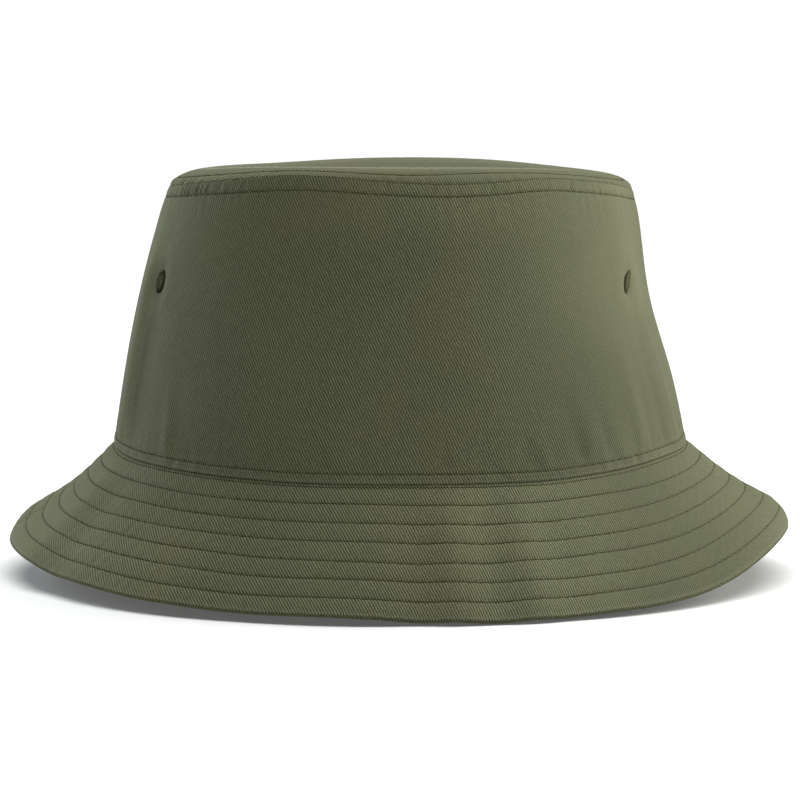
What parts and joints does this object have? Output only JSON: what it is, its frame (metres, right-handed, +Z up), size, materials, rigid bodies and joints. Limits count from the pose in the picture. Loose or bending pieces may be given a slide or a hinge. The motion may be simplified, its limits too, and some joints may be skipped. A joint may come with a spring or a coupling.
{
  "type": "bucket hat",
  "caption": "Soft cotton bucket hat with a dished tip, tall crown, embroidered eyelets and a short quilted brim that turns down.",
  "frame": {"origin": "middle of the flat plane that the front and the back of the brim's rim stand on", "axes": "+Z up through the crown, -Y to the front of the hat, +X to the wearer's left"},
  "size_m": [0.243, 0.248, 0.1273],
  "materials": {
    "twill": "matte",
    "twill_under": "matte",
    "interlining": "matte",
    "sweatband": "matte",
    "tape": "matte",
    "thread": "satin",
    "eyelet_thread": "satin",
    "label": "satin"
  },
  "bodies": {
    "root": {"crown_tip": "twill", "side_panel_front": "twill", "brim_top_front": "twill", "brim_interlining_front": "interlining", "brim_under_front": "twill_under", "side_panel_back": "twill", "brim_top_back": "twill", "brim_interlining_back": "interlining", "brim_under_back": "twill_under", "sweatband": "sweatband", "size_label": "label", "tip_seam_tape": "tape", "eyelet_right_front": "eyelet_thread", "eyelet_right_back": "eyelet_thread", "side_seam_tape_right": "tape", "eyelet_left_front": "eyelet_thread", "eyelet_left_back": "eyelet_thread", "side_seam_tape_left": "tape", "brim_stitch_row_1": "thread", "brim_stitch_row_2": "thread", "brim_stitch_row_3": "thread", "brim_stitch_row_4": "thread", "brim_stitch_row_5": "thread", "brim_stitch_row_6": "thread", "brim_stitch_row_7": "thread", "base_topstitch": "thread", "tip_topstitch_lower": "thread", "tip_topstitch_upper": "thread"}
  },
  "joints": []
}
